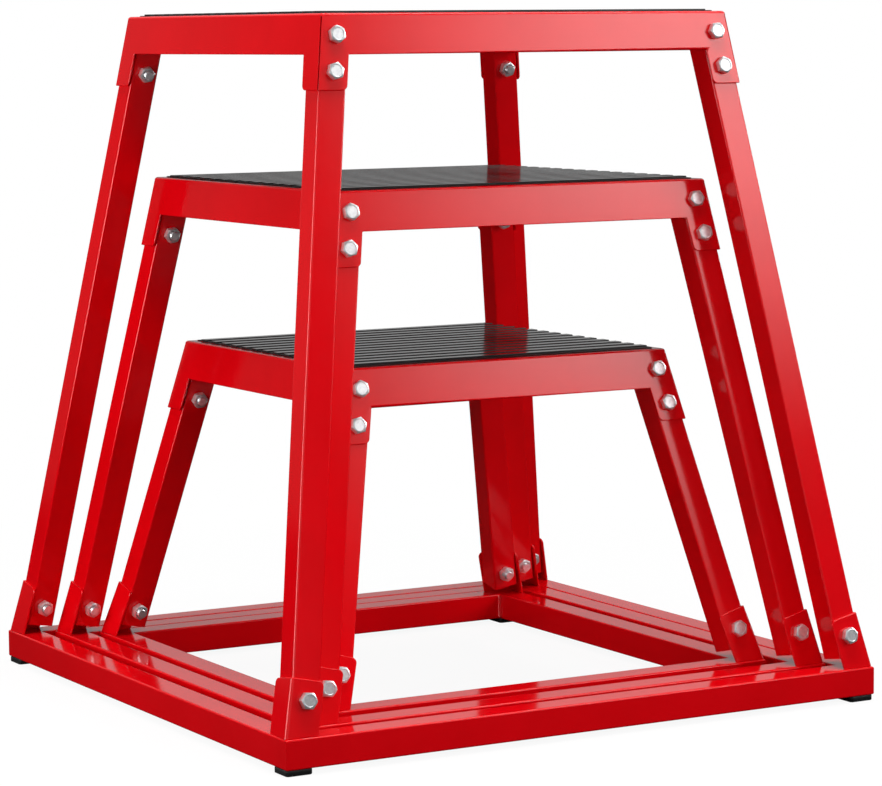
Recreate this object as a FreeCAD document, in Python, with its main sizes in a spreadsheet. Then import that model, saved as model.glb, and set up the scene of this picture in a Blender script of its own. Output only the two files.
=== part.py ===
import FreeCAD, Part
import math
import os
import Sketcher

# Nesting set of three steel plyo boxes. Each box is a ring of mitred square tube on rubber feet,
# four leaning tube legs in folded corner brackets, and a folded top pan with a ribbed rubber mat.
# Millimetres, +Z up, +X along the bolted faces, origin on the floor under the middle of the set.

SIZES = {
    # Base ring of mitred square tube
    "rail_size": 25,
    "rail_wall": 1.5,
    "rail_corner": 1.6,
    # Rubber feet under the ring's corners
    "foot_size": 24,
    "foot_height": 5,
    "foot_inset": 0.5,
    "foot_corner": 2,
    # Leaning legs of square tube
    "leg_size": 25,
    "leg_wall": 1.5,
    "leg_corner": 1.6,
    "leg_foot_inset_x": 6,
    "leg_foot_inset_y": 4,
    "leg_foot_gap": 5,
    "leg_head_gap": 0.5,
    # Corner brackets of folded sheet
    "bracket_sheet": 2,
    "bracket_reach": 2.5,
    "bracket_bend": 0.5,
    "bracket_corner": 4.5,
    "bracket_stand_off": 3.4,
    "bracket_over_bolt": 19.5,
    # Folded top pan
    "pan_sheet": 2,
    "pan_bend": 2.5,
    "pan_side_play": 0.2,
    "apron_height": 34,
    "ear_reach": 1,
    "ear_corner": 5,
    "ear_under_bolt": 15,
    "lip_width": 9,
    "lip_notch": 4,
    "seam_gap": 0.8,
    "seam_land": 3,
    # Ribbed rubber mat
    "mat_margin": 8,
    "mat_sheet": 0.8,
    "rib_height": 1.2,
    "rib_width": 10.5,
    "rib_pitch": 21,
    # Bolts and nuts
    "bolt_diameter": 8,
    "bolt_play": 0.6,
    "bolt_end": 2.5,
    "head_flats": 13,
    "head_height": 5.3,
    "nut_flats": 13,
    "nut_height": 6.5,
    "thread_play": 0.3,
    "upper_bolt_drop": 18,
    "lower_bolt_drop": 48,
    "foot_bolt_rise": 28.5,
    # The largest box, and the smaller ones inside it, which stand loose and a little off its middle
    "large_base": 582,
    "large_head_length": 394.6,
    "large_head_width": 378.4,
    "small_height": 310,
    "medium_step": 152,
    "large_step": 147,
    "medium_base_gap": 6.3,
    "medium_head_gap": 10.6,
    "medium_aside_x": 4.5,
    "medium_aside_y": 3.6,
    "small_base_gap": 9.3,
    "small_head_gap": 21.3,
    "small_aside_x": 0,
    "small_aside_y": 8.5,
    # How far every cutting shape runs past what it cuts
    "cut_overrun": 10,
}
# Degrees that each bolt of a box is turned on from the one before it
BOLT_TURN = 37
QUARTER_TURN = 90
HEX_SIDES = 6
# Heads and nuts hide the shanks and their holes, which are six-sided so that their facets stay few
SHANK = "sizes.bolt_diameter * sqrt(3) / 2"
BOLT_HOLE = "sizes.bolt_diameter + sizes.bolt_play"
# Lengths that differ by less than this are the same
HAIR = 1e-6
ALONG_X = FreeCAD.Vector(1, 0, 0)
ALONG_Y = FreeCAD.Vector(0, 1, 0)
ALONG_Z = FreeCAD.Vector(0, 0, 1)

document = FreeCAD.newDocument("plyo_box_set")
sheet = document.addObject("Spreadsheet::Sheet", "sizes")
for row, (alias, value) in enumerate(SIZES.items(), start=1):
    sheet.set(f"A{row}", alias)
    sheet.set(f"B{row}", str(value))
    sheet.setAlias(f"B{row}", alias)
document.recompute()


def size(alias):
    """Value of one cell of the sheet."""
    return float(sheet.get(alias))


BASE_TOP = size("foot_height") + size("rail_size")
MAT_THICKNESS = size("mat_sheet") + size("rib_height")
# Ears and brackets reach a little past the leg that they hold
EAR_HEIGHT = size("lower_bolt_drop") + size("ear_under_bolt")
EAR_WIDTH = size("leg_size") + size("pan_sheet") + size("ear_reach")
BRACKET_HEIGHT = size("foot_bolt_rise") + size("bracket_over_bolt")
BRACKET_WIDTH = "sizes.leg_size + sizes.bracket_sheet + sizes.bracket_reach"
# A bracket meets the side of its leg at the top and stands off it at the ring
BRACKET_SPLAY = math.degrees(math.atan2(size("bracket_stand_off"), BRACKET_HEIGHT))
OVERRUN = size("cut_overrun")
# Corners of a box, with the sides of the set that each lies on
CORNERS = {
    "front_left": (-1, -1),
    "front_right": (1, -1),
    "back_left": (-1, 1),
    "back_right": (1, 1),
}
# Quarter turns that carry the front rail round the ring
RAIL_TURNS = {"front": 0, "right": 1, "back": 2, "left": 3}


class BoxPlan:
    """Main sizes of one box: its middle, its ring, its steel top and the lean of its leg faces."""

    def __init__(self, name, base, height, head_length, head_width, middle):
        self.name = name
        self.base = base
        self.middle = middle
        self.steel_top = height - MAT_THICKNESS
        self.top_middle = middle + ALONG_Z * self.steel_top
        self.head_x = head_length / 2
        self.head_y = head_width / 2
        self.rise = self.steel_top - BASE_TOP
        self.slope_x = (base / 2 - size("leg_foot_inset_x") - self.head_x) / self.rise
        self.slope_y = (base / 2 - size("leg_foot_inset_y") - self.head_y) / self.rise

    def leg_face_x(self, drop):
        """Half the distance over the legs along X, at a drop below the steel top."""
        return self.head_x + self.slope_x * drop

    def leg_face_y(self, drop):
        """Half the distance over the legs along Y, at a drop below the steel top."""
        return self.head_y + self.slope_y * drop

    def pan_inner(self, drop):
        """Half length and half width inside the pan's aprons, at a drop below the steel top."""
        return self.leg_face_x(drop) + size("pan_side_play"), self.leg_face_y(drop)

    def pan_outer(self, drop):
        """Half length and half width over the pan's aprons, at a drop below the steel top."""
        inner_x, inner_y = self.pan_inner(drop)
        level_x = size("pan_sheet") * math.hypot(1, self.slope_x)
        level_y = size("pan_sheet") * math.hypot(1, self.slope_y)
        return inner_x + level_x, inner_y + level_y

    def nested(self, name, height):
        """Plan of the next box inside, which clears this ring and these legs at its foot and its top."""
        tube = max(size("rail_size"), size("leg_size"))
        base = self.base - 2 * (tube + size(f"{name}_base_gap"))
        drop = self.steel_top - (height - MAT_THICKNESS)
        room = size("leg_size") + size(f"{name}_head_gap") + size("pan_sheet")
        head_length = 2 * (self.leg_face_x(drop) - room)
        head_width = 2 * (self.leg_face_y(drop) - room)
        aside = FreeCAD.Vector(size(f"{name}_aside_x"), size(f"{name}_aside_y"), 0)
        return BoxPlan(name, base, height, head_length, head_width, self.middle + aside)


class CornerFrame:
    """Frame of one leg: Z up the leg, Y inwards square to the bolted face, origin at its outer foot."""

    def __init__(self, plan, corner):
        side_x, side_y = CORNERS[corner]
        self.axis = FreeCAD.Vector(-side_x * plan.slope_x, -side_y * plan.slope_y, 1).normalize()
        self.inward = FreeCAD.Vector(0, -side_y, -plan.slope_y).normalize()
        self.across = self.inward.cross(self.axis)
        # The frame's X runs towards the middle at two corners and away from it at their mirror images
        self.hand = 1 if self.across.x * side_x < 0 else -1
        foot_x = side_x * plan.leg_face_x(plan.rise)
        foot_y = side_y * plan.leg_face_y(plan.rise)
        turn = FreeCAD.Rotation(self.across, self.inward, self.axis, "ZYX")
        foot = plan.middle + FreeCAD.Vector(foot_x, foot_y, BASE_TOP)
        self.placement = FreeCAD.Placement(foot, turn)

    def height_along(self, rise, inset_x=0, inset_y=0):
        """Distance up the leg at which a point this far inside its outer edge is a rise above the ring."""
        lean = self.hand * inset_x * self.across.z + inset_y * self.inward.z
        return (rise - lean) / self.axis.z

    def at(self, inset_x, inset_y, along):
        """Placement of a piece this far inside the leg's outer edge and this far up it."""
        shift = FreeCAD.Vector(self.hand * inset_x, inset_y, along)
        return self.placement.multiply(FreeCAD.Placement(shift, FreeCAD.Rotation()))

    def bolt_heights(self, plan):
        """Distances up the leg of its foot bolt and its two head bolts."""
        rises = (
            size("foot_bolt_rise"),
            plan.rise - size("lower_bolt_drop"),
            plan.rise - size("upper_bolt_drop"),
        )
        return [self.height_along(rise, inset_x=size("leg_size") / 2) for rise in rises]


def origin_feature(body, role):
    """One of a body's own origin planes or axes."""
    return next(feature for feature in body.Origin.OriginFeatures if feature.Role == role)


def new_body(label):
    """Empty body whose label names its node."""
    body = document.addObject("PartDesign::Body", label)
    body.Label = label
    return body


def new_sketch(body, name, role="XY_Plane", offset=None):
    """Sketch on one of the body's origin planes, moved and turned by the offset."""
    sketch = body.newObject("Sketcher::SketchObject", f"{body.Name}_{name}")
    sketch.AttachmentSupport = [(origin_feature(body, role), "")]
    sketch.MapMode = "FlatFace"
    if offset is not None:
        sketch.AttachmentOffset = offset
    return sketch


def raised(distance):
    """Offset of a sketch along its plane's normal."""
    return FreeCAD.Placement(FreeCAD.Vector(0, 0, distance), FreeCAD.Rotation())


def add_polygon(sketch, points):
    """Closed outline of straight lines. Gives its first line's number."""
    corners = [FreeCAD.Vector(x, y, 0) for x, y in points]
    count = len(corners)
    first = len(sketch.Geometry)
    for start, end in zip(corners, corners[1:] + corners[:1]):
        sketch.addGeometry(Part.LineSegment(start, end), False)
    for step in range(count):
        after = first + (step + 1) % count
        sketch.addConstraint(Sketcher.Constraint("Coincident", first + step, 2, after, 1))
    return first


def hold_square(sketch, first, count):
    """Keeps the lines of a square-cornered outline level and upright by turns."""
    for step in range(count):
        kind = "Vertical" if step % 2 else "Horizontal"
        sketch.addConstraint(Sketcher.Constraint(kind, first + step))


def bind(sketch, kind, geometry, expression):
    """Length or radius in a sketch, bound to cells of the sheet."""
    value = float(sketch.evalExpression(expression))
    number = sketch.addConstraint(Sketcher.Constraint(kind, geometry, value))
    sketch.setExpression(f"Constraints[{number}]", expression)


def add_centred_rectangle(sketch, length, width):
    """Rectangle about the sketch's origin, whose sides are expressions on the sheet."""
    half_length = float(sketch.evalExpression(length)) / 2
    half_width = float(sketch.evalExpression(width)) / 2
    points = [
        (-half_length, -half_width),
        (half_length, -half_width),
        (half_length, half_width),
        (-half_length, half_width),
    ]
    first = add_polygon(sketch, points)
    hold_square(sketch, first, len(points))
    sketch.addConstraint(Sketcher.Constraint("Symmetric", first, 1, first + 2, 1, -1, 1))
    bind(sketch, "Distance", first, length)
    bind(sketch, "Distance", first + 1, width)


def add_plain_rectangle(sketch, low_x, low_y, high_x, high_y):
    """Rectangle between two corners worked out from the plan of the box."""
    points = [(low_x, low_y), (high_x, low_y), (high_x, high_y), (low_x, high_y)]
    hold_square(sketch, add_polygon(sketch, points), len(points))


def add_hexagon(sketch, flats, x=0, y=0):
    """Regular hexagon about a point, with the distance over its flats an expression on the sheet."""
    radius = float(sketch.evalExpression(flats)) / math.sqrt(3)
    turns = [math.tau * step / HEX_SIDES for step in range(HEX_SIDES)]
    corners = [(x + radius * math.cos(turn), y + radius * math.sin(turn)) for turn in turns]
    first = add_polygon(sketch, corners)
    rim = Part.Circle(FreeCAD.Vector(x, y, 0), ALONG_Z, radius)
    circle = sketch.addGeometry(rim, True)
    bind(sketch, "Diameter", circle, f"2 * ({flats}) / sqrt(3)")
    for line in range(first, first + HEX_SIDES):
        sketch.addConstraint(Sketcher.Constraint("PointOnObject", line, 1, circle))
    for line in range(first + 1, first + HEX_SIDES):
        sketch.addConstraint(Sketcher.Constraint("Equal", first, line))
    sketch.addConstraint(Sketcher.Constraint("Horizontal", first + 1))


def pad(body, sketch, name, length=None, expression=None, middle=False):
    """Pad of a sketch by a length, or by an expression on the sheet."""
    feature = body.newObject("PartDesign::Pad", f"{body.Name}_{name}")
    feature.Profile = sketch
    if expression is None:
        feature.Length = length
    else:
        feature.setExpression("Length", expression)
    feature.Midplane = middle
    document.recompute()
    return feature


def pocket(body, sketch, name, length, middle=True):
    """Pocket of a sketch, to both sides unless told otherwise, which has to take something away."""
    before = body.Shape.Volume
    feature = body.newObject("PartDesign::Pocket", f"{body.Name}_{name}")
    feature.Profile = sketch
    feature.Length = length
    feature.Midplane = middle
    document.recompute()
    if not body.Shape.Volume < before:
        raise RuntimeError(f"{feature.Name} cuts nothing")
    return feature


def dress(body, kind, name, amount, wanted):
    """Fillet or chamfer of the edges that the test picks, with its amount bound to the sheet."""
    base = body.Tip
    picked = [f"Edge{number}" for number, edge in enumerate(base.Shape.Edges, start=1) if wanted(edge)]
    if not picked:
        raise RuntimeError(f"{body.Name} has no edge for {name}")
    feature = body.newObject(f"PartDesign::{kind}", f"{body.Name}_{name}")
    feature.Base = (base, picked)
    feature.setExpression({"Fillet": "Radius", "Chamfer": "Size"}[kind], amount)
    document.recompute()


def runs_along(edge, direction):
    """Whether a straight edge runs along a direction."""
    if not isinstance(edge.Curve, Part.Line):
        return False
    return edge.Curve.Direction.cross(direction).Length < HAIR


def midpoint(edge):
    """Middle of an edge."""
    return edge.valueAt((edge.FirstParameter + edge.LastParameter) / 2)


def near(value, target):
    """Whether two lengths agree."""
    return abs(value - target) < HAIR


def add_tube_section(sketch, kind):
    """Square tube's two outlines."""
    add_centred_rectangle(sketch, f"sizes.{kind}_size", f"sizes.{kind}_size")
    bore = f"sizes.{kind}_size - 2 * sizes.{kind}_wall"
    add_centred_rectangle(sketch, bore, bore)


def round_tube(body, direction, kind):
    """Rounds a square tube's long corners."""
    half = size(f"{kind}_size") / 2

    def on_corner(edge):
        across = [abs(value) for value, along in zip(midpoint(edge), direction) if not along]
        return runs_along(edge, direction) and all(near(value, half) for value in across)

    dress(body, "Fillet", "corners", f"sizes.{kind}_corner", on_corner)


def make_rail(plan, side):
    """One side of the base ring: square tube mitred at both ends."""
    body = new_body(f"{plan.name}_base_rail_{side}")
    section = new_sketch(body, "section", "YZ_Plane")
    add_tube_section(section, "rail")
    pad(body, section, "tube", length=plan.base, middle=True)
    round_tube(body, ALONG_X, "rail")
    half = plan.base / 2
    rail = size("rail_size")
    reach = rail / 2 + OVERRUN
    mitre = new_sketch(body, "mitre")
    for end in (-1, 1):
        tip = (end * (half + OVERRUN), -reach)
        heel = (end * (half + OVERRUN), reach)
        toe = (end * (half - rail - OVERRUN), reach)
        add_polygon(mitre, [tip, heel, toe])
    pocket(body, mitre, "mitre_cut", length=2 * reach)
    turn = FreeCAD.Rotation(ALONG_Z, RAIL_TURNS[side] * QUARTER_TURN)
    seat = turn.multVec(FreeCAD.Vector(0, rail / 2 - half, size("foot_height") + rail / 2))
    body.Placement = FreeCAD.Placement(plan.middle + seat, turn)
    return body


def make_feet(plan):
    """Rubber pads under the four corners of the ring."""
    body = new_body(f"{plan.name}_feet")
    body.AllowCompound = True
    outline = new_sketch(body, "outline")
    outer = plan.base / 2 - size("foot_inset")
    inner = outer - size("foot_size")
    for side_x, side_y in CORNERS.values():
        add_plain_rectangle(outline, side_x * inner, side_y * inner, side_x * outer, side_y * outer)
    pad(body, outline, "pads", expression="sizes.foot_height")
    dress(body, "Chamfer", "corners", "sizes.foot_corner", lambda edge: runs_along(edge, ALONG_Z))
    body.Placement = FreeCAD.Placement(plan.middle, FreeCAD.Rotation())
    return body


def make_leg(plan, corner):
    """Leaning square tube, cut square at both ends and drilled through for its three bolts."""
    frame = CornerFrame(plan, corner)
    body = new_body(f"{plan.name}_leg_{corner}")
    leg = size("leg_size")
    low = frame.height_along(size("leg_foot_gap"), leg, leg)
    high = frame.height_along(plan.rise - size("pan_sheet") - size("leg_head_gap"))
    section = new_sketch(body, "section", offset=raised(low))
    add_tube_section(section, "leg")
    pad(body, section, "tube", length=high - low)
    round_tube(body, ALONG_Z, "leg")
    drilling = new_sketch(body, "drilling", "XZ_Plane")
    for along in frame.bolt_heights(plan):
        add_hexagon(drilling, BOLT_HOLE, y=along)
    pocket(body, drilling, "bolt_holes", length=leg + 2 * OVERRUN)
    body.Placement = frame.at(leg / 2, leg / 2, 0)
    return body


def make_bracket(plan, corner):
    """Folded corner bracket round a leg's foot: flat on the bolted face, splayed off the leg's side."""
    frame = CornerFrame(plan, corner)
    body = new_body(f"{plan.name}_corner_bracket_{corner}")
    hand = frame.hand
    sheet_metal = size("bracket_sheet")
    width = float(body.evalExpression(BRACKET_WIDTH))
    top = frame.height_along(BRACKET_HEIGHT)
    splay = FreeCAD.Placement(FreeCAD.Vector(), FreeCAD.Rotation(ALONG_Y, hand * BRACKET_SPLAY))
    hinge = frame.at(-sheet_metal, -sheet_metal, top)
    body.Placement = hinge.multiply(splay).multiply(raised(-top))
    section = new_sketch(body, "section", offset=raised(-width))
    angle = [
        (0, 0),
        (hand * width, 0),
        (hand * width, sheet_metal),
        (hand * sheet_metal, sheet_metal),
        (hand * sheet_metal, width),
        (0, width),
    ]
    first = add_polygon(section, angle)
    hold_square(section, first, len(angle))
    section.addConstraint(Sketcher.Constraint("Coincident", first, 1, -1, 1))
    for line in (first, first + 5):
        bind(section, "Distance", line, BRACKET_WIDTH)
    for line in (first + 1, first + 4):
        bind(section, "Distance", line, "sizes.bracket_sheet")
    pad(body, section, "angle", length=width + top)

    def fold_at(edge, depth):
        middle = midpoint(edge)
        return runs_along(edge, ALONG_Z) and near(hand * middle.x, depth) and near(middle.y, depth)

    dress(body, "Fillet", "inner_bend", "sizes.bracket_bend", lambda edge: fold_at(edge, sheet_metal))
    outer_bend = "sizes.bracket_bend + sizes.bracket_sheet"
    dress(body, "Fillet", "outer_bend", outer_bend, lambda edge: fold_at(edge, 0))
    own = body.Placement.inverse()
    ring_top = FreeCAD.Placement(own.multVec(frame.placement.Base), own.Rotation)
    foot = new_sketch(body, "foot", offset=ring_top)
    add_centred_rectangle(foot, f"4 * ({BRACKET_WIDTH})", f"4 * ({BRACKET_WIDTH})")
    pocket(body, foot, "foot_cut", length=2 * width, middle=False)

    def free_corner(edge):
        middle = midpoint(edge)
        at_end = near(hand * middle.x, width) or near(middle.y, width)
        return at_end and near(middle.z, top) and near(edge.Length, sheet_metal)

    dress(body, "Fillet", "top_corners", "sizes.bracket_corner", free_corner)
    drilling = new_sketch(body, "drilling", "XZ_Plane")
    spot = own.multVec(frame.at(size("leg_size") / 2, 0, frame.bolt_heights(plan)[0]).Base)
    add_hexagon(drilling, BOLT_HOLE, x=spot.x, y=spot.z)
    pocket(body, drilling, "bolt_hole", length=4 * sheet_metal)
    return body


def add_splayed_block(body, plan):
    """Block as large as the pan's outside, splayed four ways: a wedge-sided bar, trimmed front and back."""
    low_x, low_y = plan.pan_outer(EAR_HEIGHT)
    top_x, top_y = plan.pan_outer(0)
    bar = new_sketch(body, "bar", "XZ_Plane")
    add_polygon(bar, [(-low_x, -EAR_HEIGHT), (low_x, -EAR_HEIGHT), (top_x, 0), (-top_x, 0)])
    pad(body, bar, "splayed_bar", length=2 * (low_y + OVERRUN), middle=True)
    trim = new_sketch(body, "trim", "YZ_Plane")
    high_y = plan.pan_outer(-OVERRUN)[1]
    deep_y = plan.pan_outer(EAR_HEIGHT + OVERRUN)[1]
    aside = deep_y + 2 * OVERRUN
    for side in (-1, 1):
        add_polygon(trim, [
            (side * high_y, OVERRUN),
            (side * deep_y, -EAR_HEIGHT - OVERRUN),
            (side * aside, -EAR_HEIGHT - OVERRUN),
            (side * aside, OVERRUN),
        ])
    pocket(body, trim, "front_and_back", length=2 * (low_x + OVERRUN))


def hollow_out(body, open_face):
    """Shells a body to the pan's sheet, inwards, open at the face that the test picks."""
    base = body.Tip
    faces = [f"Face{number}" for number, face in enumerate(base.Shape.Faces, start=1) if open_face(face)]
    feature = body.newObject("PartDesign::Thickness", f"{body.Name}_shell")
    feature.Base = (base, faces)
    feature.setExpression("Value", "sizes.pan_sheet")
    feature.Reversed = True
    document.recompute()


def make_pan(plan):
    """Top pan: flat top, four splayed aprons with return lips, and two ears over each leg."""
    body = new_body(f"{plan.name}_top_pan")
    metal = size("pan_sheet")
    apron = size("apron_height")
    below = EAR_HEIGHT + OVERRUN
    add_splayed_block(body, plan)
    hollow_out(body, lambda face: near(face.BoundBox.ZMax, -EAR_HEIGHT))
    dress(body, "Fillet", "top_bend", "sizes.pan_bend", lambda edge: near(midpoint(edge).z, 0))

    # The aprons are cut back between the ears, whose free edges lean with the legs
    half_apron = [half - EAR_WIDTH for half in plan.pan_outer(apron)]
    half_ear = [half - EAR_WIDTH for half in plan.pan_outer(EAR_HEIGHT)]
    half_below = [half - EAR_WIDTH for half in plan.pan_outer(below)]
    for way, role in enumerate(("XZ_Plane", "YZ_Plane")):
        window = new_sketch(body, f"window_{way}", role)
        add_polygon(window, [
            (-half_apron[way], -apron),
            (-half_below[way], -below),
            (half_below[way], -below),
            (half_apron[way], -apron),
        ])
        pocket(body, window, f"window_cut_{way}", length=2 * plan.base)

    def ear_corner(edge):
        middle = midpoint(edge)
        beside = near(abs(middle.x), half_ear[0]) or near(abs(middle.y), half_ear[1])
        return edge.Length < 2 * metal and near(middle.z, -EAR_HEIGHT) and beside

    dress(body, "Fillet", "ear_corners", "sizes.ear_corner", ear_corner)

    # Lips turned in along the bottom of the aprons, stopping short of the ears
    lips = new_sketch(body, "lips", offset=raised(-apron))
    inner_x, inner_y = plan.pan_inner(apron)
    end_x, end_y = [half - size("lip_notch") for half in half_apron]
    lip = size("lip_width")
    root = metal / 2
    for side in (-1, 1):
        add_plain_rectangle(lips, -end_x, side * (inner_y - lip), end_x, side * (inner_y + root))
        add_plain_rectangle(lips, side * (inner_x - lip), -end_y, side * (inner_x + root), end_y)
    pad(body, lips, "lip_folds", expression="sizes.pan_sheet")

    # Open seam down each corner, below the strip that the top fold leaves whole
    seams = new_sketch(body, "seams", offset=raised(-below))
    top_x, top_y = plan.pan_outer(0)
    low_x, low_y = plan.pan_outer(below)
    gap = size("seam_gap") / 2
    back = 2 * size("pan_bend") + metal
    for side_x, side_y in CORNERS.values():
        start = FreeCAD.Vector(side_x * (top_x - back), side_y * (top_y - back), 0)
        end = FreeCAD.Vector(side_x * low_x, side_y * low_y, 0)
        aside = (end - start).normalize().cross(ALONG_Z) * gap
        rim = [start + aside, end + aside, end - aside, start - aside]
        add_polygon(seams, [(point.x, point.y) for point in rim])
    pocket(body, seams, "seam_cuts", length=2 * (below - size("seam_land")))

    # Bolt holes square to the front and back aprons
    for side_y, face in ((-1, "front"), (1, "back")):
        frames = [CornerFrame(plan, corner) for corner, sides in CORNERS.items() if sides[1] == side_y]
        turn = FreeCAD.Rotation(ALONG_X, frames[0].inward.cross(ALONG_X), frames[0].inward, "XZY")
        seat = FreeCAD.Placement(FreeCAD.Vector(0, side_y * plan.head_y, 0), turn)
        drilling = new_sketch(body, f"drilling_{face}", offset=seat)
        for frame in frames:
            for along in frame.bolt_heights(plan)[1:]:
                spot = frame.at(size("leg_size") / 2, 0, along).Base - plan.top_middle
                local = seat.inverse().multVec(spot)
                add_hexagon(drilling, BOLT_HOLE, x=local.x, y=local.y)
        pocket(body, drilling, f"bolt_holes_{face}", length=4 * metal)
    body.Placement = FreeCAD.Placement(plan.top_middle, FreeCAD.Rotation())
    return body


def make_mat(plan):
    """Rubber mat on the pan, with broad ribs along X."""
    body = new_body(f"{plan.name}_tread_mat")
    half_x, half_y = [half - size("mat_margin") for half in plan.pan_outer(0)]
    outline = new_sketch(body, "outline")
    add_plain_rectangle(outline, -half_x, -half_y, half_x, half_y)
    pad(body, outline, "mat", expression="sizes.mat_sheet")
    pitch = size("rib_pitch")
    width = size("rib_width")
    steps = int((2 * half_y - width) / pitch)
    first = -(steps * pitch + width) / 2
    rib = new_sketch(body, "rib", offset=raised(size("mat_sheet")))
    add_plain_rectangle(rib, -half_x, first, half_x, first + width)
    ridge = pad(body, rib, "first_rib", expression="sizes.rib_height")
    pattern = body.newObject("PartDesign::LinearPattern", f"{body.Name}_ribs")
    pattern.Originals = [ridge]
    pattern.Direction = (origin_feature(body, "Y_Axis"), [""])
    pattern.Length = steps * pitch
    pattern.Occurrences = steps + 1
    body.Tip = pattern
    document.recompute()
    body.Placement = FreeCAD.Placement(plan.top_middle, FreeCAD.Rotation())
    return body


def make_bolt():
    """Hex bolt: head below the origin, shank up through sheet, leg and nut."""
    body = new_body("bolt_pattern")
    head = new_sketch(body, "head", offset=raised(-size("head_height")))
    add_hexagon(head, "sizes.head_flats")
    pad(body, head, "hex", expression="sizes.head_height")
    shank = new_sketch(body, "shank")
    add_hexagon(shank, SHANK)
    grip = "max(sizes.bracket_sheet; sizes.pan_sheet) + sizes.leg_size"
    pad(body, shank, "rod", expression=f"{grip} + sizes.nut_height + sizes.bolt_end")
    return body


def make_nut():
    """Hex nut, its seat at the origin."""
    body = new_body("nut_pattern")
    outline = new_sketch(body, "outline")
    add_hexagon(outline, "sizes.nut_flats")
    add_hexagon(outline, f"{SHANK} + sizes.thread_play")
    pad(body, outline, "hex", expression="sizes.nut_height")
    return body


def make_fasteners(plan, bolt, nut):
    """Two groups of one box: its twelve bolts and its twelve nuts, on the bolted faces of the legs."""
    middle = size("leg_size") / 2
    into_leg = FreeCAD.Rotation(ALONG_X, -QUARTER_TURN)
    bolts = []
    nuts = []
    for corner in CORNERS:
        frame = CornerFrame(plan, corner)
        seats = (size("bracket_sheet"), size("pan_sheet"), size("pan_sheet"))
        for along, seat in zip(frame.bolt_heights(plan), seats):
            turned = into_leg.multiply(FreeCAD.Rotation(ALONG_Z, len(bolts) * BOLT_TURN))
            own = FreeCAD.Placement(FreeCAD.Vector(), turned)
            bolts.append(bolt.Shape.copy())
            bolts[-1].Placement = frame.at(middle, -seat, along).multiply(own)
            nuts.append(nut.Shape.copy())
            nuts[-1].Placement = frame.at(middle, size("leg_size"), along).multiply(own)
    groups = []
    for label, solids in ((f"{plan.name}_bolts", bolts), (f"{plan.name}_nuts", nuts)):
        group = document.addObject("Part::Feature", label)
        group.Label = label
        group.Shape = Part.makeCompound(solids)
        groups.append(group)
    return groups


def make_box(plan, bolt, nut):
    """All sub-parts of one box."""
    pieces = [make_rail(plan, side) for side in RAIL_TURNS]
    pieces += [make_bracket(plan, corner) for corner in CORNERS]
    pieces += [make_leg(plan, corner) for corner in CORNERS]
    pieces += [make_feet(plan), make_pan(plan), make_mat(plan)]
    return pieces + make_fasteners(plan, bolt, nut)


medium_height = size("small_height") + size("medium_step")
large_height = medium_height + size("large_step")
large_head = (size("large_head_length"), size("large_head_width"))
large = BoxPlan("large", size("large_base"), large_height, *large_head, FreeCAD.Vector())
medium = large.nested("medium", medium_height)
small = medium.nested("small", size("small_height"))

bolt_pattern = make_bolt()
nut_pattern = make_nut()
sub_parts = []
for box in (small, medium, large):
    sub_parts += make_box(box, bolt_pattern, nut_pattern)
document.recompute()

for item in document.Objects:
    if "Invalid" in item.State or "Error" in item.State:
        raise RuntimeError(f"{item.Label} failed: {item.State}")
for part in sub_parts:
    if part.Shape.isNull() or not part.Shape.isValid():
        raise RuntimeError(f"{part.Label} has no valid shape")

os.makedirs("parts", exist_ok=True)
for part in sub_parts:
    part.Shape.exportStep(f"parts/{part.Label}.step")
for box in (small, medium, large):
    top = [round(2 * half) for half in box.pan_outer(0)]
    print(f"{box.name}: base {box.base:.0f}, steel top {box.steel_top:.0f}, pan {top[0]} x {top[1]}")
print(f"{len(sub_parts)} nodes, {sum(len(part.Shape.Solids) for part in sub_parts)} solids")
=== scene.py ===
# %% [markdown]
# # A nesting set of three plyo boxes
# A plyo box is a platform for jumping drills. This set is three of them in one welded and bolted
# design, each small enough to stand inside the next. The packed CAD model is the frame of the
# scene: every tube, bracket and pan is already at its real size and place, in metres. Blender adds
# what the eye looks for up close, which is rounded sheet edges, real bolts, ribbed rubber and paint.

# %% Load the packed model
import math

import bmesh
import bpy
from mathutils import Matrix, Vector


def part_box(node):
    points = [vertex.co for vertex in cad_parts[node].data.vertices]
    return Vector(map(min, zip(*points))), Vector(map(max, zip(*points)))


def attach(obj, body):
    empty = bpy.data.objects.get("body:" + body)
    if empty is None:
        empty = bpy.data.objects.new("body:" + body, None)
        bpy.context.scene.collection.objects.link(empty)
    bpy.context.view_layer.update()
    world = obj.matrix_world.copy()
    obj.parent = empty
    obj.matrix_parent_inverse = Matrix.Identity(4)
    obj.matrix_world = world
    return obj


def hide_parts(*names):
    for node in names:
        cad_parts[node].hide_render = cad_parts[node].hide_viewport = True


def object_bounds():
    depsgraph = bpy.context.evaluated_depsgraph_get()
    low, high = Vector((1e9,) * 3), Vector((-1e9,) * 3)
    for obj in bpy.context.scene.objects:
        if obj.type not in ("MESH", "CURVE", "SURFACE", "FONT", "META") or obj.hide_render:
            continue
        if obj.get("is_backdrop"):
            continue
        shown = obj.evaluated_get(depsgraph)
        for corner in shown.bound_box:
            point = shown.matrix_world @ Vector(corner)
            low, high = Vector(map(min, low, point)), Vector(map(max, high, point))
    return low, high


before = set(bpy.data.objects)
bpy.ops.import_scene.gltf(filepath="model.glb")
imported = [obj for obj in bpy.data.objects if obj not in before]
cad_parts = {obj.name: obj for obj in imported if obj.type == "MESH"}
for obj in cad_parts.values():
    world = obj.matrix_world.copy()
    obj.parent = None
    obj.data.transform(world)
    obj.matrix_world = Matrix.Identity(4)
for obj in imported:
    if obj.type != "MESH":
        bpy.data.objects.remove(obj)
cad_low, cad_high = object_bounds()
MM = 0.001
BOXES = ("small", "medium", "large")
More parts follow.
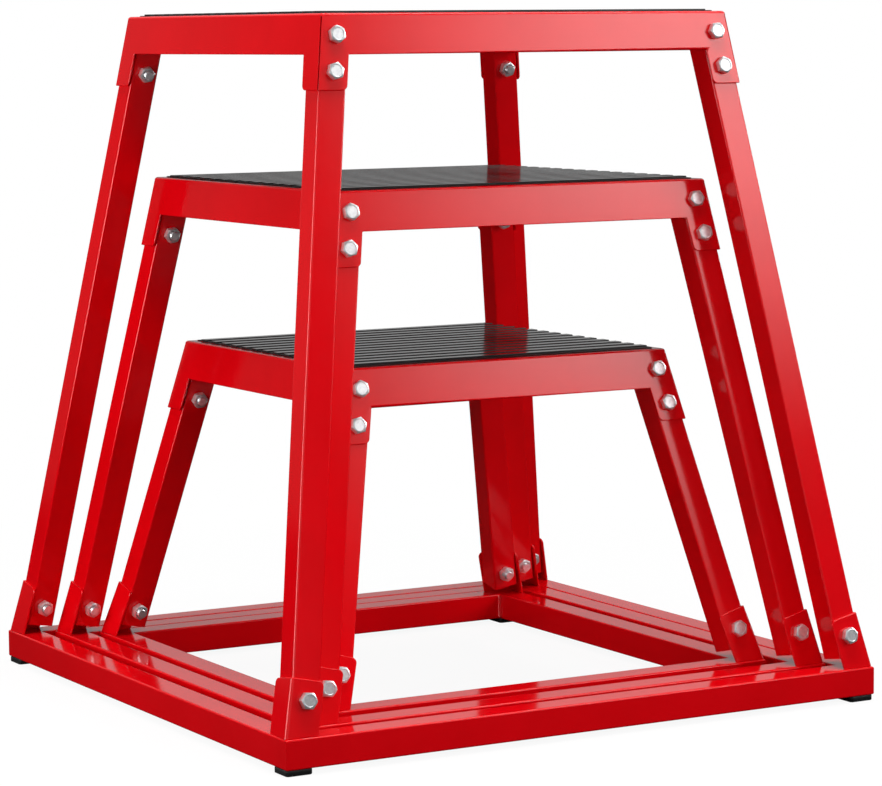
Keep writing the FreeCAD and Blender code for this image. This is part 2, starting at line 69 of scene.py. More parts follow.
CORNERS = ("front_left", "front_right", "back_left", "back_right")
SIDES = ("front", "right", "back", "left")
print(f"{len(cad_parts)} nodes, {[round(edge / MM) for edge in cad_high - cad_low]} mm over all")

# %% [markdown]
# ## The camera
# A photographed object looks right only from the photograph's own point of view. The camera's place,
# turn and focal length were worked out from the pixels of the boxes' corners, whose real places the
# CAD model gives. The numbers stay here as named values, and a matrix is built from them, because
# a camera aimed with a tracking constraint couldn't hold the slight roll of the hand.

# %% Place the camera
PHOTO_WIDTH = 882
FOCAL_PIXELS = 3298.5
SENSOR_WIDTH = 36
CAMERA_PLACE = Vector((-1454.0, -2601.4, 591.3)) * MM
CAMERA_YAW = 0.5151
CAMERA_PITCH = 0.10922
CAMERA_ROLL = -0.00896


def aim(yaw, pitch, roll):
    """Turn of a camera that looks along +Y, then swings right, tips down and rolls."""
    forward = Vector((math.cos(pitch) * math.sin(yaw), math.cos(pitch) * math.cos(yaw), -math.sin(pitch)))
    level = Vector((math.cos(yaw), -math.sin(yaw), 0))
    upright = level.cross(forward)
    right = level * math.cos(roll) + upright * math.sin(roll)
    return Matrix((right, -forward.cross(right), -forward)).transposed()


lens = bpy.data.cameras.new("photo_camera")
lens.sensor_width = SENSOR_WIDTH
lens.lens = FOCAL_PIXELS * SENSOR_WIDTH / PHOTO_WIDTH
camera = bpy.data.objects.new("photo_camera", lens)
camera.matrix_world = Matrix.Translation(CAMERA_PLACE) @ aim(CAMERA_YAW, CAMERA_PITCH, CAMERA_ROLL).to_4x4()
bpy.context.scene.collection.objects.link(camera)
bpy.context.scene.camera = camera
print(f"camera with a {lens.lens:.1f} mm lens, {CAMERA_PLACE.length:.2f} m away")

# %% [markdown]
# ## Shader maths as plain Python
# A finish is a sum of small effects: a drift of colour, a grain, a gloss. Wiring Math nodes by hand
# hides such a sum, so one small class holds a socket and lets Python's own operators add the nodes.
# Every other node comes from its one method `node`, which sets the node's settings first, because
# some of them change which sockets there are, and then fills or links its sockets.

# %% Define the wire class
# A Mix node has sockets of one name for numbers, vectors and colours, so those for colours go by number
MIX_FIRST_COLOUR = 6
MIX_SECOND_COLOUR = 7
MIX_COLOUR_OUT = 2


class Wire:
    """An output socket in a node tree, or just the tree, whose operators add Math nodes."""

    def __init__(self, tree, socket=None):
        self.tree = tree
        self.socket = socket

    def node(self, kind, settings=None, sockets=None, out=0):
        """Adds a node, with its settings, then its sockets' values or links. Gives one output."""
        made = self.tree.nodes.new(kind)
        for name, value in (settings or {}).items():
            setattr(made, name, value)
        for name, value in (sockets or {}).items():
            if isinstance(value, Wire):
                self.tree.links.new(value.socket, made.inputs[name])
            else:
                made.inputs[name].default_value = value
        return Wire(self.tree, made.outputs[out]) if made.outputs else None

    def maths(self, operation, first, second):
        """Math node with two inputs, each a wire or a number."""
        return self.node("ShaderNodeMath", {"operation": operation}, {0: first, 1: second})

    def __add__(self, other):
        return self.maths("ADD", self, other)

    def __radd__(self, other):
        return self.maths("ADD", other, self)

    def __sub__(self, other):
        return self.maths("SUBTRACT", self, other)

    def __rsub__(self, other):
        return self.maths("SUBTRACT", other, self)

    def __mul__(self, other):
        return self.maths("MULTIPLY", self, other)

    def __rmul__(self, other):
        return self.maths("MULTIPLY", other, self)

    def span(self, low, high, from_value=0, to_value=1):
        """Smooth step of this value from one number to another."""
        ends = {"From Min": low, "From Max": high, "To Min": from_value, "To Max": to_value}
        return self.node("ShaderNodeMapRange", {"interpolation_type": "SMOOTHSTEP"}, {"Value": self, **ends})

    def between(self, first, second):
        """Colour that runs from the first to the second as this value goes from 0 to 1."""
        colours = {"Factor": self, MIX_FIRST_COLOUR: first, MIX_SECOND_COLOUR: second}
        return self.node("ShaderNodeMix", {"data_type": "RGBA"}, colours, out=MIX_COLOUR_OUT)


print("a wire adds:", ", ".join(name for name in vars(Wire) if not name.startswith("__")))

# %% [markdown]
# Every finish below starts from an empty node tree, varies by noise and ends in a surface shader, so
# four helpers do that part for all of them. The noise is counted in features to a metre of the object
# itself: a grain then keeps its real size on a long rail and on a small nut, which a pattern stretched
# over each piece would not.

# %% Define the helpers for finishes
BROAD_DETAIL = 2


def begin(owner):
    """Empties a material's or world's node tree and gives a wire to build it with."""
    owner.use_nodes = True
    owner.node_tree.nodes.clear()
    return Wire(owner.node_tree)


def noise(start, per_metre, detail=BROAD_DETAIL):
    """Noise in the object's own metres, with so many features to a metre."""
    place = start.node("ShaderNodeTexCoord", out="Object")
    sockets = {"Vector": place, "Scale": per_metre, "Detail": detail}
    return start.node("ShaderNodeTexNoise", None, sockets, out="Fac")


def rough_up(start, height, depth):
    """Bump of so many metres from a height between 0 and 1."""
    return start.node("ShaderNodeBump", None, {"Height": height, "Distance": depth})


def dress(name, build):
    """Material whose surface shader the function builds."""
    material = bpy.data.materials.new(name)
    start = begin(material)
    start.node("ShaderNodeOutputMaterial", None, {"Surface": build(start)})
    print(f"{name}: {len(material.node_tree.nodes)} nodes")
    return material


print("helpers:", ", ".join(helper.__name__ for helper in (begin, noise, rough_up, dress)))

# %% [markdown]
# ## Red powder coat
# Powder coat is dry paint, sprayed on by static charge and melted in an oven. It lies thick and
# glossy, with a faint skin like orange peel, and its colour drifts a little with its thickness.
# A plain glossy red would look like plastic film, so a slow noise drifts the colour, a middling one
# the gloss, and a fine one of a millimetre or two raises the peel by a hundredth of a millimetre.

# %% Mix the powder coat
RED_THIN = (0.78, 0.001, 0.005, 1)
RED_THICK = (0.72, 0.0008, 0.004, 1)
DRIFT_SHARES = (0.3, 0.7)
COAT_DRIFT = 14
COAT_CLOUDS = 90
COAT_PEEL = 620
PEEL_DEPTH = 0.012 * MM
COAT_SHEEN = 0.5
COAT_ROUGHNESS = 0.055
CLOUDS_ROUGHNESS = 0.05
DRIFT_ROUGHNESS = 0.03


def powder_coat_shader(start):
    """Glossy red whose colour drifts, over a fine peel."""
    drift = noise(start, COAT_DRIFT, detail=4)
    clouds = noise(start, COAT_CLOUDS)
    peel = noise(start, COAT_PEEL)
    return start.node("ShaderNodeBsdfPrincipled", None, {
        "Base Color": drift.span(*DRIFT_SHARES).between(RED_THIN, RED_THICK),
        "Roughness": COAT_ROUGHNESS + CLOUDS_ROUGHNESS * clouds + DRIFT_ROUGHNESS * drift,
        "Specular IOR Level": COAT_SHEEN,
        "Normal": rough_up(start, peel, PEEL_DEPTH),
    })


powder_coat = dress("powder_coat_red", powder_coat_shader)

# %% [markdown]
# ## Zinc plate
# The bolts and nuts are plated with zinc, which dries to a fine crystal frost with a cool tint.
# It is a metal, so most of its colour is the colour of its reflections, but the frost scatters light
# too, which the shader counts as a share that is not metal. Two noises make the frost: one of a few
# millimetres for the handling marks, one much finer for the crystals, which also roughens it.

# %% Mix the zinc
ZINC_LIGHT = (0.95, 0.96, 0.97, 1)
ZINC_DULL = (0.80, 0.81, 0.84, 1)
MARK_SHARES = (0.35, 0.75)
METAL_SHARE = 0.8
ZINC_ROUGHNESS = 0.22
MARKS_ROUGHNESS = 0.14
FROST_ROUGHNESS = 0.06
ZINC_MARKS = 420
ZINC_FROST = 3200
FROST_DEPTH = 0.004 * MM


def zinc_shader(start):
    """Frosted metal with handling marks."""
    marks = noise(start, ZINC_MARKS, detail=4)
    frost = noise(start, ZINC_FROST)
    return start.node("ShaderNodeBsdfPrincipled", None, {
        "Base Color": marks.span(*MARK_SHARES).between(ZINC_LIGHT, ZINC_DULL),
        "Metallic": METAL_SHARE,
        "Roughness": ZINC_ROUGHNESS + MARKS_ROUGHNESS * marks + FROST_ROUGHNESS * frost,
        "Normal": rough_up(start, frost, FROST_DEPTH),
    })


zinc = dress("zinc_plate", zinc_shader)

# %% [markdown]
# ## Black rubber
# The treads are ribbed sheet rubber with a calendered, half-glossy face, and the feet are moulded and
# duller. Both are nearly black with a fine grain and some pale dust. Over that, shade is painted by the
# height within the piece: the grooves and the lower parts of the feet are painted black as shade, what
# stands up is painted paler as if lit, and the grooves are kept duller too. One function with a grain and
# a roughness as its arguments serves both, as they are the same stuff.

# %% Mix the rubbers
RUBBER_BLACK = (0.004, 0.004, 0.0045, 1)
# The pale colour is dust together with painted light on what stands up
RUBBER_DUSTY_LIT = (0.016, 0.0155, 0.0155, 1)
RUBBER_DUST = 160
DUST_SHARE = 0.5
# Heights within a piece over which painted shade turns to painted light, and the gloss rises
HEIGHT_SHADE_SHARES = (0.5, 0.95)
GROOVE_DULL = 0.4
DUST_ROUGHNESS = 0.08
GRAIN_ROUGHNESS = 0.04
TREAD_GRAIN = 1500
TREAD_ROUGHNESS = 0.08
FOOT_GRAIN = 900
FOOT_ROUGHNESS = 0.5
GRAIN_DEPTH = 0.008 * MM


def rubber_shader(start, grain_per_metre, smooth):
    """Black rubber with dust, painted paler as if lit where it stands up and painted black as shade low
    down, with the roughness that its smoothest spots have.
    """
    place = start.node("ShaderNodeTexCoord", out="Generated")
    height = start.node("ShaderNodeSeparateXYZ", None, {"Vector": place}, out="Z")
    # Painted shade and light: darker lower down in the piece, black in the grooves and at the feet's lower
    # part, paler on the rib tops; the same height also makes the grooves duller
    height_shade_and_gloss = height.span(*HEIGHT_SHADE_SHARES)
    dust = noise(start, RUBBER_DUST, detail=3)
    grain = noise(start, grain_per_metre)
    dust_and_painted_light = height_shade_and_gloss * (1 - DUST_SHARE + DUST_SHARE * dust)
    dull = smooth + GROOVE_DULL * (1 - height_shade_and_gloss)
    return start.node("ShaderNodeBsdfPrincipled", None, {
        "Base Color": dust_and_painted_light.between(RUBBER_BLACK, RUBBER_DUSTY_LIT),
        "Roughness": dull + DUST_ROUGHNESS * dust + GRAIN_ROUGHNESS * grain,
        "Normal": rough_up(start, grain, GRAIN_DEPTH),
    })


tread_rubber = dress("tread_rubber_black", lambda start: rubber_shader(start, TREAD_GRAIN, TREAD_ROUGHNESS))
foot_rubber = dress("foot_rubber_black", lambda start: rubber_shader(start, FOOT_GRAIN, FOOT_ROUGHNESS))

# %% [markdown]
# ## Painted tube
# The base rings and legs are drawn square tube. Their CAD solids already have the rounded corners,
# mitres and drilled holes, so they stay as they are and only take the paint: the new material goes
# into the slots that the imported objects already have.

# %% Paint the tubes
tubes = [f"{box}_base_rail_{side}" for box in BOXES for side in SIDES]
tubes += [f"{box}_leg_{corner}" for box in BOXES for corner in CORNERS]
for name in tubes:
    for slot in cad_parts[name].material_slots:
        slot.material = powder_coat
print(f"{len(tubes)} tubes painted")

# %% [markdown]
# ## Pieces that stand in for CAD nodes
# Sheet metal has no sharp edges once it is painted: the coat rounds them, and each one catches a thin
# line of light. A CAD mesh is never edited, so a copy of it is welded into whole faces, gets a fine
# bevel along its sharp edges, and replaces the node. Weighted normals then keep the broad faces flat
# and give the whole turn of the light to the narrow bevels. The helper that adds a finished mesh to
# its box is shared by every piece below.

# %% Define how pieces are added
WELD = 0.002 * MM
FLAT_ANGLE = math.radians(1)
CREASE_ANGLE = math.radians(35)
EDGE_SEGMENTS = 3
ROUND_PROFILE = 0.5


def add_piece(name, shape, box, material, node=None):
    """Makes an object of a bmesh, which rides on its box and may stand for a CAD node."""
    mesh = bpy.data.meshes.new(name)
    shape.to_mesh(mesh)
    shape.free()
    mesh.materials.append(material)
    mesh.shade_smooth()
    mesh.set_sharp_from_angle(angle=CREASE_ANGLE)
    piece = bpy.data.objects.new(name, mesh)
    bpy.context.scene.collection.objects.link(piece)
    even = piece.modifiers.new("even_normals", "WEIGHTED_NORMAL")
    even.keep_sharp = True
    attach(piece, f"{box}_box")
    if node:
        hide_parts(node)
    return piece


def whole_faces(node):
    """Copy of a CAD node's mesh, with its triangles joined into flat faces."""
    shape = bmesh.new()
    shape.from_mesh(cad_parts[node].data)
    bmesh.ops.remove_doubles(shape, verts=shape.verts, dist=WELD)
    bmesh.ops.dissolve_limit(shape, angle_limit=FLAT_ANGLE, verts=shape.verts, edges=shape.edges)
    return shape


def sharp_edges(shape):
    """Edges at which two faces meet at more than a slight angle."""
    return [edge for edge in shape.edges if edge.calc_face_angle(0) > CREASE_ANGLE]


def soften(shape, edges, radius, segments=EDGE_SEGMENTS):
    """Rounds some edges of a shape."""
    bmesh.ops.bevel(shape, geom=edges, offset=radius, segments=segments, profile=ROUND_PROFILE,
                    affect="EDGES", clamp_overlap=False)


print(f"edges of more than {math.degrees(CREASE_ANGLE):.0f} degrees count as sharp")

# %% [markdown]
# ## Brackets, pans and feet
# Each leg's foot stands in a bracket folded from thick sheet, and its head under a folded pan. Both
# are softened copies of their CAD nodes. The rubber feet are softened more, because moulded rubber
# comes out of its mould with rounder edges than painted steel. The pans get one thing more: the lower
# edge of an apron is a fold, where the sheet turns in to a lip, so it is rounder than a cut edge.

# %% Round the sheet metal and the feet
COAT_EDGE = 0.7 * MM
FOOT_EDGE = 0.8 * MM
FOLD_RADIUS = 1.9 * MM
FOLD_SEGMENTS = 4
FOLD_MIN_LENGTH = 50 * MM
STEEP = 0.9


def apron_folds(shape, middle):
    """Long edges between an apron's outer face and the underside of its lip."""
    folds = []
    for edge in shape.edges:
        if edge.calc_length() < FOLD_MIN_LENGTH:
            continue
        outward = (edge.verts[0].co + edge.verts[1].co) / 2 - middle
        axis = Vector((math.copysign(1, outward.x), 0, 0))
        if abs((edge.verts[0].co - edge.verts[1].co).y) < FOLD_MIN_LENGTH:
            axis = Vector((0, math.copysign(1, outward.y), 0))
        normals = [face.normal for face in edge.link_faces]
        underside = min(normal.z for normal in normals) < -STEEP
        if underside and max(normal.dot(axis) for normal in normals) > STEEP:
            folds.append(edge)
    return folds


for box in BOXES:
    sheet_metal = [f"{box}_corner_bracket_{corner}" for corner in CORNERS] + [f"{box}_top_pan"]
    softened = {node: (COAT_EDGE, powder_coat, "powder_coat") for node in sheet_metal}
    softened[f"{box}_feet"] = (FOOT_EDGE, foot_rubber, "foot_rubber")
    for node, (radius, material, slot) in softened.items():
        shape = whole_faces(node)
        folds = apron_folds(shape, sum(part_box(node), Vector()) / 2) if node.endswith("top_pan") else []
        soften(shape, folds, FOLD_RADIUS, FOLD_SEGMENTS)
        edges = sharp_edges(shape)
        soften(shape, edges, radius)
        add_piece(f"{node}_softened", shape, box, material, node)
        print(f"{node}: {len(edges)} edges rounded, {len(folds)} folds")

# %% [markdown]
# ## Weld beads
# The rails of a ring are welded where they meet. The outer faces are ground flush, but in the inside
# corner the bead stays: a rippled quarter round, one ripple for each push of the torch. It is drawn
# as a stack of small quarter rounds, whose radius swells and shrinks from one ripple to the next.

# %% Lay the beads
BEAD_RADIUS = 3.2 * MM
BEAD_RIPPLE = 0.35 * MM
RIPPLE_PITCH = 2 * MM
RIPPLE_STEPS = 4
BEAD_STEPS = 6
BEAD_END = 1.6 * MM


def lay_bead(shape, corner, side_x, side_y, length):
    """Adds a bead up an inside corner of a ring, whose walls run towards the sides given."""
    rows = []
    count = round(length / RIPPLE_PITCH * RIPPLE_STEPS)
    for step in range(count + 1):
        swell = abs(math.sin(math.pi * step / RIPPLE_STEPS))
        radius = BEAD_RADIUS + BEAD_RIPPLE * (swell - 1)
        points = [(0, 0)]
        for turn in range(BEAD_STEPS + 1):
            angle = math.pi / 2 * turn / BEAD_STEPS
            points.append((radius * math.cos(angle), radius * math.sin(angle)))
        rise = length * step / count
        place = [corner + Vector((side_x * x, side_y * y, rise)) for x, y in points]
        rows.append([shape.verts.new(point) for point in place])
    for row, after in zip(rows, rows[1:]):
        for here in range(len(row)):
            follow = (here + 1) % len(row)
            shape.faces.new((row[here], row[follow], after[follow], after[here]))
    shape.faces.new(rows[0])
    shape.faces.new(rows[-1])


for box in BOXES:
    front_low, front_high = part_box(f"{box}_base_rail_front")
    back_low, back_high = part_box(f"{box}_base_rail_back")
    left_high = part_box(f"{box}_base_rail_left")[1]
    right_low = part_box(f"{box}_base_rail_right")[0]
    length = front_high.z - front_low.z - 2 * BEAD_END
    shape = bmesh.new()
    for x, side_x in ((left_high.x, 1), (right_low.x, -1)):
        for y, side_y in ((front_high.y, 1), (back_low.y, -1)):
            lay_bead(shape, Vector((x, y, front_low.z + BEAD_END)), side_x, side_y, length)
    bmesh.ops.recalc_face_normals(shape, faces=shape.faces)
    add_piece(f"{box}_ring_welds", shape, box, powder_coat)
    print(f"{box}: four beads of {length / MM:.0f} mm")

# %% [markdown]
# ## Ribbed treads
# The tread is a sheet of rubber with broad flat ribs along it. A texture could paint stripes, but at
# this low view the ribs hide the grooves behind them, which only real relief does. So the section
# across the ribs is drawn as one line and swept along the sheet, with the rib's edges a little round.

# %% Roll out the treads
TREAD_SHEET = 0.8 * MM
RIB_PITCH = 21 * MM
RIB_WIDTH = 10.5 * MM
RIB_EDGE = 0.35 * MM


def tread_section(width, height):
    """Outline across a tread: its flat underside, and over the top a step up and down at each rib."""
    half = width / 2
    steps = int((width - RIB_WIDTH) / RIB_PITCH)
    first = -(steps * RIB_PITCH + RIB_WIDTH) / 2
    points = [(half, 0), (-half, 0), (-half, TREAD_SHEET)]
    for step in range(steps + 1):
        left = first + step * RIB_PITCH
        right = left + RIB_WIDTH
        points += [(left, TREAD_SHEET), (left, height), (right, height), (right, TREAD_SHEET)]
    return points + [(half, TREAD_SHEET)]


for box in BOXES:
    node = f"{box}_tread_mat"
    low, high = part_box(node)
    middle = (low.y + high.y) / 2
    section = tread_section(high.y - low.y, high.z - low.z)
    shape = bmesh.new()
    ends = []
    for x in (low.x, high.x):
        ends.append([shape.verts.new((x, middle + y, low.z + z)) for y, z in section])
        shape.faces.new(ends[-1])
    for here in range(len(section)):
        after = (here + 1) % len(section)
        shape.faces.new((ends[0][here], ends[0][after], ends[1][after], ends[1][here]))
    bmesh.ops.recalc_face_normals(shape, faces=shape.faces)
    soften(shape, sharp_edges(shape), RIB_EDGE)
    add_piece(f"{box}_tread_ribbed", shape, box, tread_rubber, node)
    print(f"{box} tread: a section of {len(section)} points")

# %% [markdown]
# ## Bolts and nuts
# A hex head is a six-sided bar whose end is turned to a shallow cone, which is why its flat face is
# round and its corners dip. The same formula makes heads and nuts: at each angle the side stands as
# far out as the hexagon does, and drops as much as it stands past the cone's rim. Rings of points at
# many angles are joined one to the next. Each bolt's place and turn is read from its CAD solid.

# %% Define hexagons and rings
RING_POINTS = 48
TURNS = [math.tau * step / RING_POINTS for step in range(RING_POINTS)]
HEX_SIDES = 6
SIXTH = math.tau / HEX_SIDES
CONE_ANGLE = math.radians(30)
CONE_SLOPE = math.tan(CONE_ANGLE)
RIM_SHARE = 0.9


def circle(radius, height):
    """Level ring of points."""
    return [(radius * math.cos(turn), radius * math.sin(turn), height) for turn in TURNS]


def hexagon(flats, height, dip):
    """Ring round a hexagon, which dips away from the height past the cone's rim."""
    ring = []
    for turn in TURNS:
        radius = flats / 2 / math.cos(turn % SIXTH - SIXTH / 2)
        fall = (radius - RIM_SHARE * flats / 2) * CONE_SLOPE
        ring.append((radius * math.cos(turn), radius * math.sin(turn), height + dip * fall))
    return ring


def join_rings(shape, rings, place, closed):
    """Adds a skin through the rings, turned in on itself or capped at both ends."""
    rows = [[shape.verts.new(place @ Vector(point)) for point in ring] for ring in rings]
    for row, after in zip(rows, rows[1:] + rows[:1] if closed else rows[1:]):
        for step in range(RING_POINTS):
            follow = (step + 1) % RING_POINTS
            shape.faces.new((row[step], row[follow], after[follow], after[step]))
    if not closed:
        shape.faces.new(rows[0])
        shape.faces.new(rows[-1])


print(f"{RING_POINTS} points to a ring, {RING_POINTS // HEX_SIDES} of them to each side of a hexagon")

# %% [markdown]
# The CAD file holds each box's twelve bolts as one group of separate solids. Walking from edge to edge
# picks the solids apart. A bolt's head is its largest six-cornered face: that gives the axis, the turn
# and the size over the flats. A nut's middle lies on the axis of one of the bolts.

# %% Read the bolts' places
DEPTH_DIGITS = 2


def solids_of(node):
    """Shape of a group node, and the points of each separate solid in it."""
    shape = whole_faces(node)
    reached = set()
    found = []
    for first in shape.verts:
        if first in reached:
            continue
        reached.add(first)
        solid = [first]
        # The list grows while it is walked, and so keeps the same order in every run
        for here in solid:
            beside = [edge.other_vert(here) for edge in here.link_edges]
            fresh = [vert for vert in beside if vert not in reached]
            reached.update(fresh)
            solid += fresh
        found.append(solid)
    return shape, found


def bolt_places(box):
    """Each bolt's frame, Z into the leg from under its head, with its flats, head and shank."""
    shape, solids = solids_of(f"{box}_bolts")
    places = []
    for solid in solids:
        faces = [face for vert in solid for face in vert.link_faces if len(face.verts) == HEX_SIDES]
        head = max(faces, key=lambda face: face.calc_area())
        middle = head.calc_center_median()
        inward = -head.normal
        corner = head.verts[0].co - middle
        depths = sorted({round((vert.co - middle).dot(inward) / MM, DEPTH_DIGITS) * MM for vert in solid})
        across = corner.normalized()
        turn = Matrix((across, inward.cross(across), inward)).transposed().to_4x4()
        seat = Matrix.Translation(middle + inward * depths[1]) @ turn
        flats = 2 * corner.length * math.cos(SIXTH / 2)
        places.append((seat, flats, depths[1], depths[-1] - depths[1]))
    shape.free()
    return places


def nut_places(box, bolts):
    """Each nut's frame, from its seat outwards along its bolt, with its height."""
    shape, solids = solids_of(f"{box}_nuts")
    places = []
    for solid in solids:
        middle = sum((vert.co for vert in solid), Vector()) / len(solid)
        seats = [bolt[0] for bolt in bolts]
        seat = min(seats, key=lambda place: (place.inverted() @ middle).xy.length)
        local = [(seat.inverted() @ vert.co).z for vert in solid]
        places.append((seat @ Matrix.Translation((0, 0, min(local))), max(local) - min(local)))
    shape.free()
    return places


bolts = {box: bolt_places(box) for box in BOXES}
nuts = {box: nut_places(box, bolts[box]) for box in BOXES}
for box in BOXES:
    flats = bolts[box][0][1]
    print(f"{box}: {len(bolts[box])} bolts and {len(nuts[box])} nuts, {flats / MM:.1f} mm over the flats")

# %% [markdown]
# A bolt's skin starts at the round, slightly dished face that forging leaves on its head, comes down
# the six sides to the seat, and runs along the shank to a few turns of thread past the nut. Only
# those last turns show, so the rest of the shank stays smooth. The nut's skin goes over both cones
# and back through its bore.

# %% Make the bolts and nuts
THREAD_PITCH = 1.25 * MM
THREAD_DEPTH = 0.55 * MM
THREAD_TURNS = 4
SHANK_RADIUS = 4 * MM
BORE_PLAY = 0.15 * MM
BORE_CONE = 0.7 * MM
SEAT_LIFT = 0.2 * MM
DISH_SHARE = 0.72
DISH_DEPTH = 0.4 * MM


def bolt_rings(flats, head, shank):
    """Rings of a bolt from its head's face to its threaded tip."""
    rim = RIM_SHARE * flats / 2
    dish = DISH_SHARE * flats / 2
    rings = [circle(dish, DISH_DEPTH - head), circle(dish + DISH_DEPTH, -head), circle(rim, -head)]
    rings += [hexagon(flats, -head, 1), hexagon(flats, -SEAT_LIFT, 0), circle(rim, -SEAT_LIFT)]
    rings += [circle(rim, 0), circle(SHANK_RADIUS, 0)]
    start = shank - THREAD_TURNS * THREAD_PITCH
    for step in range(THREAD_TURNS):
        crest = start + step * THREAD_PITCH
        rings.append(circle(SHANK_RADIUS, crest))
        rings.append(circle(SHANK_RADIUS - THREAD_DEPTH, crest + THREAD_PITCH / 2))
    return rings + [circle(SHANK_RADIUS, shank - THREAD_DEPTH), circle(SHANK_RADIUS - THREAD_DEPTH, shank)]


def nut_rings(flats, height):
    """Rings of a nut from its seat over its sides and back through its bore."""
    rim = RIM_SHARE * flats / 2
    bore = SHANK_RADIUS + BORE_PLAY
    outside = [circle(rim, 0), hexagon(flats, 0, 1), hexagon(flats, height, -1), circle(rim, height)]
    mouth = [circle(bore + BORE_CONE, height), circle(bore, height - BORE_CONE)]
    return outside + mouth + [circle(bore, BORE_CONE), circle(bore + BORE_CONE, 0)]


for box in BOXES:
    bolt_shape = bmesh.new()
    nut_shape = bmesh.new()
    for seat, across, head, shank in bolts[box]:
        join_rings(bolt_shape, bolt_rings(across, head, shank), seat, closed=False)
    for seat, height in nuts[box]:
        join_rings(nut_shape, nut_rings(bolts[box][0][1], height), seat, closed=True)
    for shape, kind in ((bolt_shape, "bolts"), (nut_shape, "nuts")):
        bmesh.ops.recalc_face_normals(shape, faces=shape.faces)
        piece = add_piece(f"{box}_{kind}_turned", shape, box, zinc, f"{box}_{kind}")
        print(f"{piece.name}: {len(piece.data.polygons)} faces")

# %% [markdown]
# ## The studio
# The photograph has a white sweep behind the object and lamps that leave one side deep red. A white
# room all round would wash the paint out, because gloss mirrors whatever is there. So the world is
# white to the camera, and to gloss it is two white sheets, before and behind, with a dark room
# beside them. Diffuse light comes from the lamps and a soft fill.

# %% Build the studio's walls
BACKDROP_WAY = Vector((math.sin(CAMERA_YAW), math.cos(CAMERA_YAW), 0))
SHEET_EDGE = math.cos(math.radians(59))
SHEET_FULL = math.cos(math.radians(38))
SHEET_STRENGTH = 0.45
ROOM_STRENGTH = 0.04
FILL_STRENGTH = 0.04
WHITE = (1, 1, 1, 1)

world = bpy.data.worlds.new("white_studio")
bpy.context.scene.world = world
start = begin(world)
seen = start.node("ShaderNodeLightPath", out="Is Camera Ray")
mirrored = start.node("ShaderNodeLightPath", out="Is Glossy Ray")
passed = start.node("ShaderNodeLightPath", out="Is Transmission Ray")
look = start.node("ShaderNodeTexCoord", out="Generated")
ways = {0: look, 1: BACKDROP_WAY}
along = start.node("ShaderNodeVectorMath", {"operation": "DOT_PRODUCT"}, ways, out="Value")
facing = start.node("ShaderNodeMath", {"operation": "ABSOLUTE"}, {0: along})
sheets = facing.span(SHEET_EDGE, SHEET_FULL, ROOM_STRENGTH, SHEET_STRENGTH)
glossy = mirrored + passed
strength = seen + glossy * sheets + (1 - seen - glossy) * FILL_STRENGTH
background = start.node("ShaderNodeBackground", None, {"Color": WHITE, "Strength": strength})
start.node("ShaderNodeOutputWorld", None, {"Surface": background})
bpy.context.scene.view_settings.view_transform = "Standard"
print(f"world of {len(world.node_tree.nodes)} nodes")

# %% [markdown]
# The floor is a broad pale sheet. Close to the object it takes real light and shadow, further out it
# fades into the white of the backdrop, so no horizon shows. The fade goes by the distance from the
# object, and only the camera sees it. To every other ray the floor is dark, because white light from
# below would wash out the undersides.

# %% Lay the floor
FLOOR_HALF = 9.0
FLOOR_PALE = (0.86, 0.86, 0.86, 1)
FLOOR_BOUNCE = (0.02, 0.02, 0.02, 1)
FADE_NEAR = 0.25
FADE_FAR = 1.1
FADE_UNDER = 0.92


def floor_shader(start):
    """Pale sheet that fades to white further out, and throws little light back."""
    seen = start.node("ShaderNodeLightPath", out="Is Camera Ray")
    place = start.node("ShaderNodeTexCoord", out="Object")
    reach = start.node("ShaderNodeVectorMath", {"operation": "LENGTH"}, {0: place}, out="Value")
    fade = reach.span(FADE_NEAR, FADE_FAR, FADE_UNDER, 1) * seen
    sheet = start.node("ShaderNodeBsdfDiffuse", None, {"Color": seen.between(FLOOR_BOUNCE, FLOOR_PALE)})
    glow = start.node("ShaderNodeEmission", None, {"Color": WHITE, "Strength": 1})
    return start.node("ShaderNodeMixShader", None, {"Fac": fade, 1: sheet, 2: glow})


shape = bmesh.new()
bmesh.ops.create_grid(shape, x_segments=1, y_segments=1, size=FLOOR_HALF)
floor_mesh = bpy.data.meshes.new("studio_floor")
shape.to_mesh(floor_mesh)
shape.free()
floor_mesh.materials.append(dress("studio_floor_pale", floor_shader))
floor = bpy.data.objects.new("studio_floor", floor_mesh)
floor.location.z = cad_low.z
bpy.context.scene.collection.objects.link(floor)
floor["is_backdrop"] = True
print(f"floor {2 * FLOOR_HALF:.0f} m square")

# %% [markdown]
# Paint shows two lights at once: the diffuse light that makes it red, and the mirror image of a lamp
# that turns it pink. Four area lamps give the diffuse light. Those before and on the left stand close,
# because a near lamp falls off from the front legs to the back ones, as it does in the photograph.
# The one on the right stands far off, so that each leg there shades the one inside it. Gloss sees
# only the left lamp, in the left faces; the mirror images of the right come from panels.

# %% Hang the lamps
AIM = Vector((0, 0, 300)) * MM
LAMPS = {
    "overhead_lamp": {"place": (0, -200, 2300), "side": 1200, "watts": 55, "gloss": False},
    "front_lamp": {"place": (-150, -1300, 400), "side": 800, "watts": 4.7, "gloss": False},
    "right_lamp": {"place": (2100, -2016, 1300), "side": 1500, "watts": 42, "gloss": False},
    "left_lamp": {"place": (-1150, 0, 500), "side": 700, "watts": 9, "gloss": True},
}
for name, lamp in LAMPS.items():
    light = bpy.data.lights.new(name, "AREA")
    light.size = lamp["side"] * MM
    light.energy = lamp["watts"]
    lamp_object = bpy.data.objects.new(name, light)
    place = Vector(lamp["place"]) * MM
    lamp_object.location = place
    lamp_object.rotation_euler = (AIM - place).to_track_quat("-Z", "Y").to_euler()
    lamp_object.visible_glossy = lamp["gloss"]
    lamp_object.visible_camera = False
    bpy.context.scene.collection.objects.link(lamp_object)
    print(f"{name}: {lamp['watts']} W from {(place - AIM).length:.1f} m")

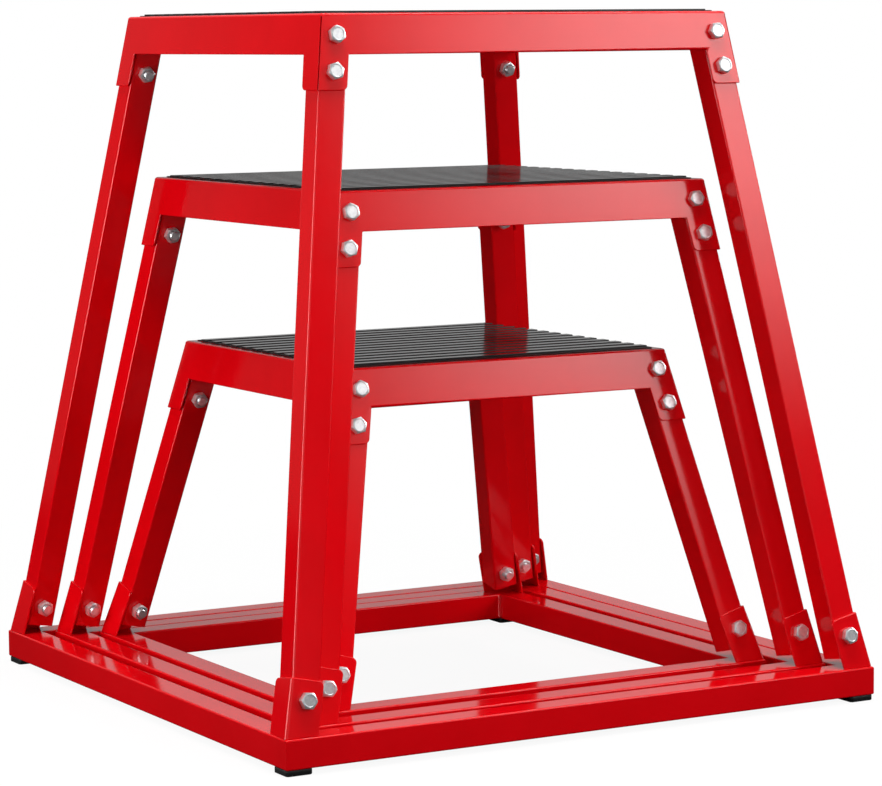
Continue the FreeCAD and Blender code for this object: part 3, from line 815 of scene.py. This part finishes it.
# %% [markdown]
# The broad mirror images come from glowing panels that only gloss sees. The right one stands where the
# bolted faces look by reflection, and fades out towards its left and lower edges, so that the faces
# turn pink from left to right and from the foot upwards. From the photograph's side, the one above and
# the narrow strip far on the right show only in rounded edges, which they draw as thin bright lines.

# %% Stand the panels
PANELS = {
    "right_panel": {"place": (1566, -2616, 1240), "width": 1000, "height": 1300, "glow": 5.4},
    "top_panel": {"place": (1000, -500, 2300), "width": 1000, "height": 2000, "glow": 8},
    "edge_strip": {"place": (2600, -1000, 900), "width": 350, "height": 1600, "glow": 30},
}
PANEL_FADE_SHARES = {"X": 0.8, "Y": 0.6}
UNIT_HALF = 0.5
BLACK = (0, 0, 0, 1)


def panel_shader(start, glow):
    """Glow that fades in from the panel's left and lower edges."""
    place = start.node("ShaderNodeTexCoord", out="Generated")
    fades = []
    for axis, share in PANEL_FADE_SHARES.items():
        across = start.node("ShaderNodeSeparateXYZ", None, {"Vector": place}, out=axis)
        fades.append(across.span(0, share))
    colour = (fades[0] * fades[1]).between(BLACK, WHITE)
    return start.node("ShaderNodeEmission", None, {"Color": colour, "Strength": glow})


for name, panel in PANELS.items():
    shape = bmesh.new()
    bmesh.ops.create_grid(shape, x_segments=1, y_segments=1, size=UNIT_HALF)
    bmesh.ops.scale(shape, vec=(panel["width"] * MM, panel["height"] * MM, 1), verts=shape.verts)
    panel_mesh = bpy.data.meshes.new(name)
    shape.to_mesh(panel_mesh)
    shape.free()
    panel_mesh.materials.append(dress(f"{name}_glow", lambda start: panel_shader(start, panel["glow"])))
    panel_object = bpy.data.objects.new(name, panel_mesh)
    place = Vector(panel["place"]) * MM
    panel_object.location = place
    panel_object.rotation_euler = (place - AIM).to_track_quat("Z", "Y").to_euler()
    panel_object.visible_camera = False
    panel_object.visible_diffuse = False
    panel_object.visible_shadow = False
    bpy.context.scene.collection.objects.link(panel_object)
    panel_object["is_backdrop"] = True
    print(f"{name}: {panel['width']} by {panel['height']} mm")

# %% [markdown] ## Last measure The object's size is measured once more.

# %% Measure the sizes
low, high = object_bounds()
